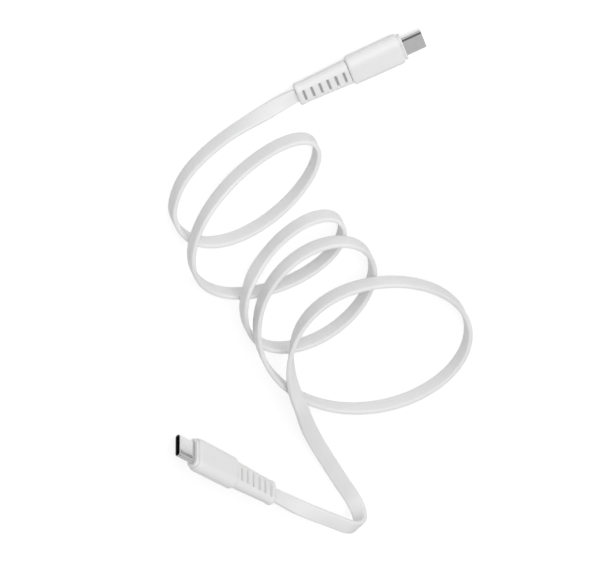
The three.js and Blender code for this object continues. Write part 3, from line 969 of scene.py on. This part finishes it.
@dataclass
class Housing:
    """The white housing: a body with full round sides, and a stepped collar at its front."""

    sizes: PlugSizes
    rear_round: Edge = Edge(1.2, 1.2, 0.6, 10)
    front_bevel: Edge = Edge(1.7, 0.5, 0.5, 10)
    small: Edge = Edge(0.12, 0.12, 0.12, 4)
    lip: Edge = Edge(0.3, 0.3, 0.3, 5)
    neck_fit: float = 0.02
    neck_round: float = 0.05
    body_steps: int = 12
    sharp: float = 35

    def build(self, name: str) -> Piece:
        """Makes the housing in the plug's own frame.

        Args:
            name: The object's name.

        Returns:
            The housing, with a bore through it as the solid has.
        """
        s = self.sizes
        sleeve = Sleeve(name, ends=28, flat=8)
        collar_rear = s.front - s.collar_length
        body_front = collar_rear - s.groove_length
        sleeve.run(eased(s.rear, 1, s.housing_rear, self.rear_round))
        body = s.rear + self.rear_round.along
        bevel = body_front - self.front_bevel.along
        sleeve.run(tapered(body, bevel, s.housing_rear, s.housing, self.body_steps))
        sleeve.run(reversed(eased(body_front, -1, s.housing, self.front_bevel)))
        sleeve.run([(body_front, s.groove), (collar_rear, s.groove)])
        sleeve.run(eased(collar_rear, 1, s.collar, self.small))
        sleeve.run(reversed(eased(s.front, -1, s.collar, self.lip)))
        neck = s.shell.grown(self.neck_fit)
        bore = s.mould.grown(s.fit)
        entry = s.ferrule.grown(s.fit)
        mould_front = s.shell_rear - s.fit
        mould_rear = mould_front - s.mould_length
        sleeve.run([(s.front, neck.grown(self.neck_round)), (s.front - self.neck_round, neck)])
        sleeve.run([(mould_front + s.fit, neck), (mould_front + s.fit, bore)])
        sleeve.run([(mould_rear - s.fit, bore), (mould_rear - s.fit, entry), (s.rear, entry)])
        made = sleeve.build()
        sharpen(made, self.sharp)
        return made


@dataclass
class SlotRow:
    """The row of slots in each broad face of a strain relief, sunk by geometry nodes."""

    count: int = 6
    pitch: float = 2.85
    first: float = 1.9
    width: float = 0.8
    across: float = 5.2
    depth: float = 0.9
    lip: float = 0.1

    def tree(self, names: Iterable[str], material: Material) -> bpy.types.NodeTree:
        """Builds the node tree that sinks the slots.

        Args:
            names: The names of its inputs for sizes.
            material: What the piece is made of.

        Returns:
            The tree.
        """
        tree = bpy.data.node_groups.new("slot_row", "GeometryNodeTree")
        face = tree.interface
        face.new_socket("Geometry", in_out="INPUT", socket_type="NodeSocketGeometry")
        for name in names:
            face.new_socket(name, in_out="INPUT", socket_type="NodeSocketFloat")
        face.new_socket("Geometry", in_out="OUTPUT", socket_type="NodeSocketGeometry")
        nodes = Nodes(tree)
        of = nodes.math
        given = nodes.add("NodeGroupInput").outputs
        place = nodes.out("GeometryNodeInputPosition")
        x, y, z = nodes.add("ShaderNodeSeparateXYZ", {0: place}).outputs
        back = of("SUBTRACT", given["First"], x)
        nearest = of("ROUND", of("DIVIDE", back, given["Pitch"]))
        kept = of("MINIMUM", of("MAXIMUM", nearest, 0.0), given["Last"])
        local = of("SUBTRACT", back, of("MULTIPLY", kept, given["Pitch"]))
        half = of("DIVIDE", given["Width"], 2.0)
        straight = of("SUBTRACT", of("DIVIDE", given["Across"], 2.0), half)
        beyond = of("MAXIMUM", of("SUBTRACT", of("ABSOLUTE", y), straight), 0.0)
        squares = of("ADD", of("MULTIPLY", beyond, beyond), of("MULTIPLY", local, local))
        sunk = nodes.out("ShaderNodeMapRange", {
            "Value": of("SUBTRACT", of("SQRT", squares), half),
            "From Min": of("MULTIPLY", given["Lip"], -1.0), "From Max": given["Lip"],
            "To Min": 1.0, "To Max": 0.0,
        }, interpolation_type="SMOOTHSTEP")
        up = of("MULTIPLY", of("SIGN", z), given["Depth"])
        shift = nodes.out("ShaderNodeCombineXYZ", {"Z": of("MULTIPLY", of("MULTIPLY", sunk, up), -1.0)})
        outside = nodes.add("GeometryNodeInputNamedAttribute", {"Name": "outside"},
                            data_type="BOOLEAN").outputs["Attribute"]
        # The sunk share is kept as an attribute. Besides shaping the slots, it is what the material uses to
        # paint shade into them.
        stored = nodes.out("GeometryNodeStoreNamedAttribute", {
            "Geometry": given["Geometry"], "Selection": outside, "Name": "sunk", "Value": sunk,
        })
        moved = nodes.out("GeometryNodeSetPosition", {
            "Geometry": stored, "Selection": outside, "Offset": shift,
        })
        realized = nodes.out("GeometryNodeRealizeInstances", {0: moved})
        dressed = nodes.out("GeometryNodeSetMaterial", {"Geometry": realized, "Material": material})
        nodes.add("NodeGroupOutput", {"Geometry": dressed})
        return tree

    def sink(self, piece: Piece, front: float, material: Material) -> None:
        """Sinks the slots into a piece, and turns the result into a plain mesh.

        Args:
            piece: The strain relief, in the plug's own frame, with its outside marked.
            front: The relief's front end, in millimetres.
            material: What the piece is made of.
        """
        values = {
            "First": (front - self.first) * MM, "Pitch": self.pitch * MM, "Last": float(self.count - 1),
            "Width": self.width * MM, "Across": self.across * MM, "Depth": self.depth * MM,
            "Lip": self.lip * MM,
        }
        modifier = piece.modifiers.new("slots", "NODES")
        modifier.node_group = self.tree(values, material)
        for item in modifier.node_group.interface.items_tree:
            if item.in_out == "INPUT" and item.name in values:
                modifier[item.identifier] = values[item.name]
        settle(piece)


@dataclass
class StrainRelief:
    """The strain relief: a tapered sleeve with a slotted face above and below and a round flared end."""

    sizes: PlugSizes
    end_round: Edge = Edge(1.0, 0.75, 0.65, 10)
    front_round: Edge = Edge(0.15, 0.15, 0.15, 4)
    slots: SlotRow = field(default_factory=SlotRow)
    flare_steps: int = 10
    ring_step: float = 0.08
    mouth_depth: float = 0.2
    mouth_flare: float = 0.12
    sharp: float = 50

    def build(self, name: str, material: Material) -> Piece:
        """Makes the strain relief in the plug's own frame.

        Args:
            name: The object's name.
            material: What it is made of.

        Returns:
            The strain relief with its slots sunk in.
        """
        s = self.sizes
        sleeve = Sleeve(name, ends=56, flat=40)
        flared = s.relief_rear.grown(s.flare / 2)
        neck = s.relief_end + self.end_round.along
        sleeve.run(eased(s.relief_end, 1, flared, self.end_round))
        for i in range(1, self.flare_steps):
            share = smoothstep(i / self.flare_steps, 0, 1)
            sleeve.ring(neck + s.flare_length * i / self.flare_steps, flared.grown(-s.flare / 2 * share))
        start, end = neck + s.flare_length, s.relief_front - self.front_round.along
        sleeve.ring(start, s.relief_rear)
        sleeve.run(tapered(start, end, s.relief_rear, s.relief, round((end - start) / self.ring_step)))
        sleeve.run(reversed(eased(s.relief_front, -1, s.relief, self.front_round)))
        outside = len(sleeve.rings)
        seat = s.ferrule.grown(s.fit)
        hole = s.cable.grown(s.fit)
        seat_rear = s.rear + s.ferrule_in_housing - s.ferrule_length - s.fit
        sleeve.run([(s.relief_front, seat), (seat_rear, seat), (seat_rear, hole)])
        sleeve.run([(s.relief_end + self.mouth_depth, hole), (s.relief_end, hole.grown(self.mouth_flare))])
        made = sleeve.build()
        sides = len(sleeve.rings[0])
        mark = made.data.attributes.new("outside", "BOOLEAN", "POINT")
        for i, item in enumerate(mark.data):
            item.value = i < outside * sides
        self.slots.sink(made, s.relief_front, material)
        sharpen(made, self.sharp)
        return made


@dataclass
class PlugShell:
    """The drawn metal shell, with a rolled rim round its mouth."""

    sizes: PlugSizes
    rim: float = 0.09
    rim_steps: int = 5
    wall_steps: int = 10
    sharp: float = 50

    def build(self, name: str) -> Piece:
        """Makes the shell in the plug's own frame.

        Args:
            name: The object's name.

        Returns:
            The shell, open at both ends.
        """
        s = self.sizes
        sleeve = Sleeve(name, ends=28, flat=6)
        inside = s.shell.grown(-s.wall)
        front = s.mouth - self.rim
        sleeve.ring(s.shell_rear, s.shell)
        sleeve.run(tapered(s.shell_rear, front, s.shell, s.shell, self.wall_steps))
        outer, inner = (Edge(self.rim, way, way, self.rim_steps) for way in (self.rim, -self.rim))
        sleeve.run(reversed(eased(s.mouth, -1, s.shell, outer)))
        sleeve.run(eased(s.mouth, -1, inside, inner))
        sleeve.ring(s.shell_rear, inside)
        made = sleeve.build()
        sharpen(made, self.sharp)
        return made


@dataclass
class Plug:
    """A whole plug at one end of the cable: its visible mouldings, and finishes for what is inside."""

    end: str
    placement: Placement
    finishes: Finishes
    sizes: PlugSizes = field(default_factory=PlugSizes)

    @property
    def matrix(self) -> Matrix:
        """The plug's own frame in the model's frame, in millimetres."""
        return self.placement.matrix(self.sizes.housing)

    def exit(self, side: int) -> Station:
        """Where the cable comes out, in millimetres, with its width pointing to the side 1 or -1."""
        at = self.matrix @ Vector((self.sizes.relief_end, 0, 0))
        return Station(at, self.matrix.to_3x3() @ Vector((0, side, 0)))

    def fit(self, piece: Piece, node: str, material: Material) -> Piece:
        """Lays a finished piece in place of its node.

        Args:
            piece: The piece, in the plug's own frame.
            node: The node's name without its end.
            material: What the piece is made of.

        Returns:
            The piece.
        """
        matrix = self.matrix
        matrix.translation *= MM
        piece.data.transform(matrix)
        dress(piece, material)
        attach(piece, BODY)
        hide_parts(f"{self.end}_{node}")
        LOG.info("%s: %d faces", piece.name, len(piece.data.polygons))
        return piece

    def build(self, materials: dict[str, Material]) -> list[Piece]:
        """Makes the plug's visible pieces.

        Args:
            materials: The made materials by slot.

        Returns:
            The pieces.
        """
        plating = replace(self.finishes.shell, name=f"{self.end}_shell_plating", lay=Lay.LENGTHWISE,
                          turned=self.matrix).material()
        relief = StrainRelief(self.sizes).build(f"{self.end}_relief_sleeve", materials["relief"])
        shell = PlugShell(self.sizes).build(f"{self.end}_drawn_shell")
        housing = Housing(self.sizes).build(f"{self.end}_housing_body")
        return [
            self.fit(shell, "plug_shell", plating),
            self.fit(housing, "housing", materials["housing"]),
            self.fit(relief, "strain_relief", materials["relief"]),
        ]


# ---- The room ----


@dataclass
class Studio:
    """A pale floor, soft light and the camera at the photograph's angle."""

    target: Point = (-0.0505, -0.0829, -0.0004)
    look: Point = (0.0395, -0.706, -0.7071)
    right: Point = (0.9088, -0.2684, 0.3189)
    distance: float = 6
    field_width: float = 0.1967
    sensor: float = 36.0
    clip: tuple[float, float] = (0.1, 100)
    floor_size: float = 40.0
    floor_drop: float = 0.05 * MM
    floor_bounce: float = 0.62
    floor_seen: float = 0.36
    floor_glow: float = 0.74
    ambient: float = 0.64
    key: float = 0.48
    key_size: float = 1.3
    key_from: Point = (0.3, 0.72, 0.95)
    reflected: tuple[tuple[float, float], ...] = (
        (0.0, 0.11), (0.1, 0.11), (0.16, 0.73), (0.6, 0.64), (0.78, 0.58), (0.88, 0.19), (1.0, 0.16),
    )

    def camera(self) -> None:
        """Makes the camera, far off with a long lens, turned as the photograph is."""
        look = Vector(self.look).normalized()
        right = Vector(self.right)
        right = (right - look * right.dot(look)).normalized()
        up = right.cross(look)
        data = bpy.data.cameras.new("camera")
        data.sensor_width = self.sensor
        data.lens = self.sensor * self.distance / self.field_width
        data.clip_start, data.clip_end = self.clip
        camera = placed("camera", data)
        turn = Matrix((right, up, -look)).transposed().to_4x4()
        camera.matrix_world = Matrix.Translation(Vector(self.target) - look * self.distance) @ turn
        bpy.context.scene.camera = camera

    def floor(self) -> None:
        """Makes the pale floor, which looks white and keeps a soft shadow."""
        half = self.floor_size / 2
        mesh = bpy.data.meshes.new("floor")
        square = [(-half, -half, 0), (half, -half, 0), (half, half, 0), (-half, half, 0)]
        mesh.from_pydata(square, [], [(0, 1, 2, 3)])
        floor = placed("floor", mesh)
        floor.location.z = -self.floor_drop
        material = bpy.data.materials.new("pale_floor")
        material.use_nodes = True
        material.node_tree.nodes.clear()
        nodes = Nodes(material.node_tree)
        rays = nodes.add("ShaderNodeLightPath").outputs
        seen = nodes.math("MAXIMUM", rays["Is Camera Ray"], rays["Is Glossy Ray"])
        seen = nodes.math("MAXIMUM", seen, rays["Is Transmission Ray"])
        bounce = nodes.out("ShaderNodeBsdfDiffuse", {"Color": grey(self.floor_bounce)})
        pale = nodes.out("ShaderNodeBsdfDiffuse", {"Color": grey(self.floor_seen)})
        glow = nodes.out("ShaderNodeEmission", {"Strength": self.floor_glow})
        both = nodes.out("ShaderNodeAddShader", {0: pale, 1: glow})
        mix = nodes.out("ShaderNodeMixShader", {0: seen, 1: bounce, 2: both})
        nodes.add("ShaderNodeOutputMaterial", {0: mix})
        mesh.materials.append(material)

    def world(self) -> None:
        """Makes the even light all round, white behind the object and graded in reflections."""
        world = bpy.data.worlds.new("studio")
        bpy.context.scene.world = world
        world.use_nodes = True
        world.node_tree.nodes.clear()
        nodes = Nodes(world.node_tree)
        rays = nodes.add("ShaderNodeLightPath").outputs
        way = nodes.add("ShaderNodeTexCoord").outputs["Generated"]
        height = nodes.add("ShaderNodeSeparateXYZ", {0: way}).outputs["Z"]
        ramp = nodes.add("ShaderNodeValToRGB", {0: height})
        stops = ramp.color_ramp.elements
        for stop, (place, level) in zip(stops, (self.reflected[0], self.reflected[-1])):
            stop.position, stop.color = place, grey(level)
        for place, level in self.reflected[1:-1]:
            stops.new(place).color = grey(level)
        even = nodes.out("ShaderNodeBackground", {"Strength": self.ambient})
        graded = nodes.out("ShaderNodeBackground", {"Color": ramp.outputs[0]})
        white = nodes.out("ShaderNodeBackground", {"Color": grey(1)})
        lit = nodes.out("ShaderNodeMixShader", {0: rays["Is Glossy Ray"], 1: even, 2: graded})
        seen = nodes.math("MAXIMUM", rays["Is Camera Ray"], rays["Is Transmission Ray"])
        whole = nodes.out("ShaderNodeMixShader", {0: seen, 1: lit, 2: white})
        nodes.add("ShaderNodeOutputWorld", {0: whole})

    def lamp(self) -> None:
        """Hangs one large soft lamp above the object, to one side."""
        data = bpy.data.lights.new("key", "AREA")
        data.shape = "DISK"
        data.size = self.key_size
        way = -Vector(self.key_from)
        radius = self.key_size / 2
        share = radius**2 / (radius**2 + way.length_squared)
        data.energy = self.key * math.pi * (math.pi * radius**2) / share
        lamp = placed("key", data)
        lamp.location = Vector(self.target) - way
        lamp.rotation_euler = way.to_track_quat("-Z", "Y").to_euler()
        lamp.visible_glossy = False

    def build(self) -> None:
        """Makes the whole room."""
        bpy.context.scene.view_settings.view_transform = "Standard"
        self.camera()
        self.floor()
        self.world()
        self.lamp()


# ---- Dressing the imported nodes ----


def dress_nodes(frame: dict, materials: dict[str, Material]) -> None:
    """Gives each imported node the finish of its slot."""
    for row in frame["record"]["subparts"]:
        dress(frame["nodes"][row["node"]], materials[row["material_slot"]])


def main() -> None:
    """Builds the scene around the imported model."""
    logging.basicConfig(level=logging.INFO, format="%(name)s: %(message)s")
    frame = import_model()
    Studio().build()

    finishes = Finishes()
    materials = finishes.materials()
    dress_nodes(frame, materials)

    far = Plug("far", FAR_PLUG, finishes)
    near = Plug("near", NEAR_PLUG, finishes)
    cable = FlatCable()
    stations = cable.stations(far.exit(-1), near.exit(1))
    ribbon = cable.build(stations)
    dress(ribbon, materials["cable"])
    far.build(materials)
    near_pieces = near.build(materials)

    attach(ribbon, BODY)
    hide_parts("far_cable_lead", "cable_loops", "near_cable_lead")
    tuple(far.exit(-1).at * MM)


if __name__ == "__main__":
    main()
